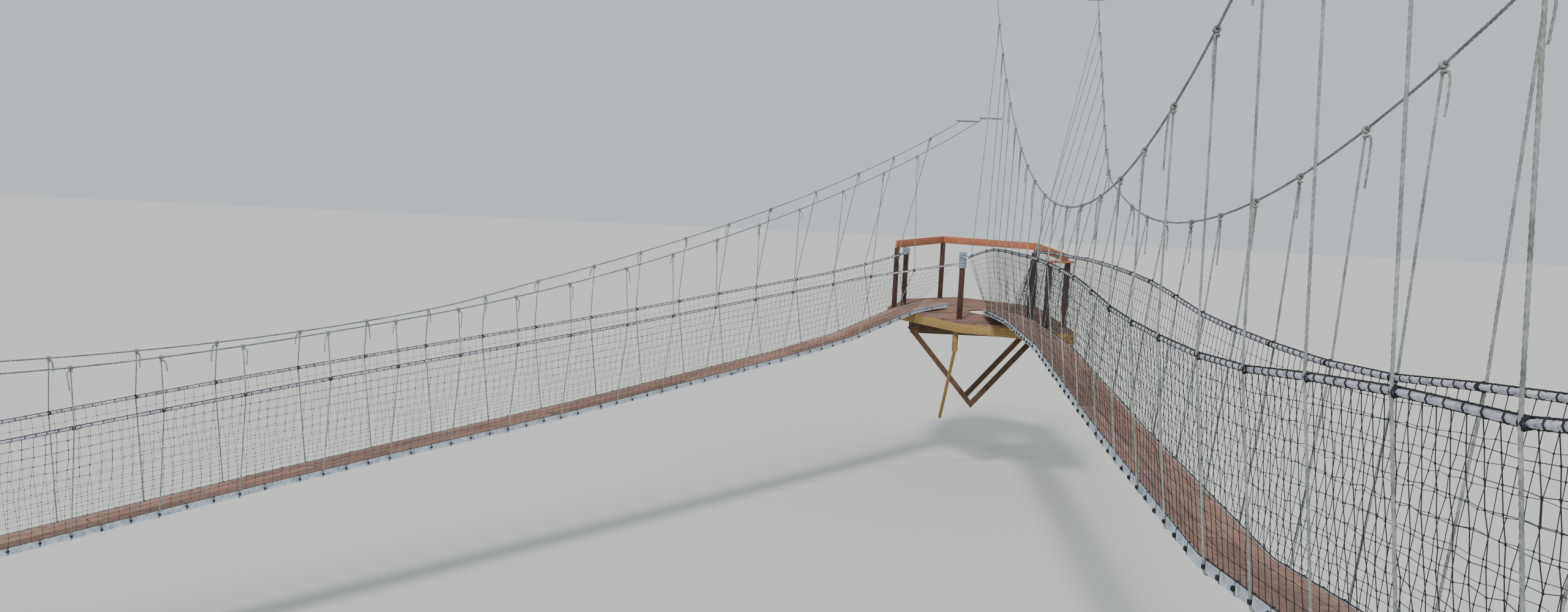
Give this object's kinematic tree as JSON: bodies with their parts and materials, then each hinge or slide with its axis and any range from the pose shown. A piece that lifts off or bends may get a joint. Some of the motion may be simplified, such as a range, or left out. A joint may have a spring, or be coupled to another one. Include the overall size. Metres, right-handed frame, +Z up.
{
  "type": "rope suspension footbridge",
  "caption": "Treetop walkway: rope-hung plank decks on ladder frames with net sides meet at a timber platform built round a trunk",
  "frame": {"origin": "centre of the front bearer's face that rests on the trunk, under the platform", "axes": "+Y out of that face, away from the pictured side; +Z up; +X to the right as pictured"},
  "size_m": [21.158, 22.9361, 8.1307],
  "materials": {
    "ladder_aluminium": "worn mill finish",
    "plank_board": "weathered softwood with a grooved face",
    "main_rope": "twisted grey-green rope",
    "handrail_rope": "served pale grey rope",
    "net_cord": "knotted black cord net",
    "floor_board": "weathered reddish boards",
    "fascia_board": "ochre stained board",
    "frame_timber": "dark brown stained timber",
    "post_timber": "dark reddish-brown stained timber",
    "rail_timber": "orange-brown stained timber",
    "post_wrap": "grey-blue wrapped rope"
  },
  "bodies": {
    "root": {"platform_floor": "floor_board", "fascia_front_right": "fascia_board", "fascia_right": "fascia_board", "fascia_back_right": "fascia_board", "fascia_back_left": "fascia_board", "fascia_left": "fascia_board", "fascia_front_left": "fascia_board", "bearer_front": "frame_timber", "bearer_back": "frame_timber", "joist_1": "frame_timber", "joist_2": "frame_timber", "joist_3": "frame_timber", "joist_4": "frame_timber", "v_brace_front": "frame_timber", "v_brace_back": "frame_timber", "corner_stub": "frame_timber", "corner_brace": "frame_timber", "post_left_outer": "post_timber", "post_left_entry": "post_timber", "post_front_entry": "post_timber", "post_back": "post_timber", "post_back_right": "post_timber", "post_right_entry": "post_timber", "post_right_front": "post_timber", "post_right_corner": "post_timber", "rope_wrap_left": "post_wrap", "rope_wrap_front": "post_wrap", "top_rail_left": "rail_timber", "top_rail_back": "rail_timber", "top_rail_right": "rail_timber", "cap_board": "rail_timber", "left_ladder_1": "ladder_aluminium", "left_ladder_2": "ladder_aluminium", "left_ladder_3": "ladder_aluminium", "left_ladder_4": "ladder_aluminium", "left_ladder_5": "ladder_aluminium", "left_ladder_6": "ladder_aluminium", "left_ladder_7": "ladder_aluminium", "left_ladder_8": "ladder_aluminium", "left_planks": "plank_board", "left_inner_main_rope": "main_rope", "left_inner_handrail": "handrail_rope", "left_inner_net": "net_cord", "left_outer_main_rope": "main_rope", "left_outer_handrail": "handrail_rope", "left_outer_net": "net_cord", "right_ladder_1": "ladder_aluminium", "right_ladder_2": "ladder_aluminium", "right_ladder_3": "ladder_aluminium", "right_ladder_4": "ladder_aluminium", "right_ladder_5": "ladder_aluminium", "right_ladder_6": "ladder_aluminium", "right_planks": "plank_board", "right_inner_main_rope": "main_rope", "right_inner_handrail": "handrail_rope", "right_inner_net": "net_cord", "right_outer_main_rope": "main_rope", "right_outer_handrail": "handrail_rope", "right_outer_net": "net_cord"}
  },
  "joints": []
}
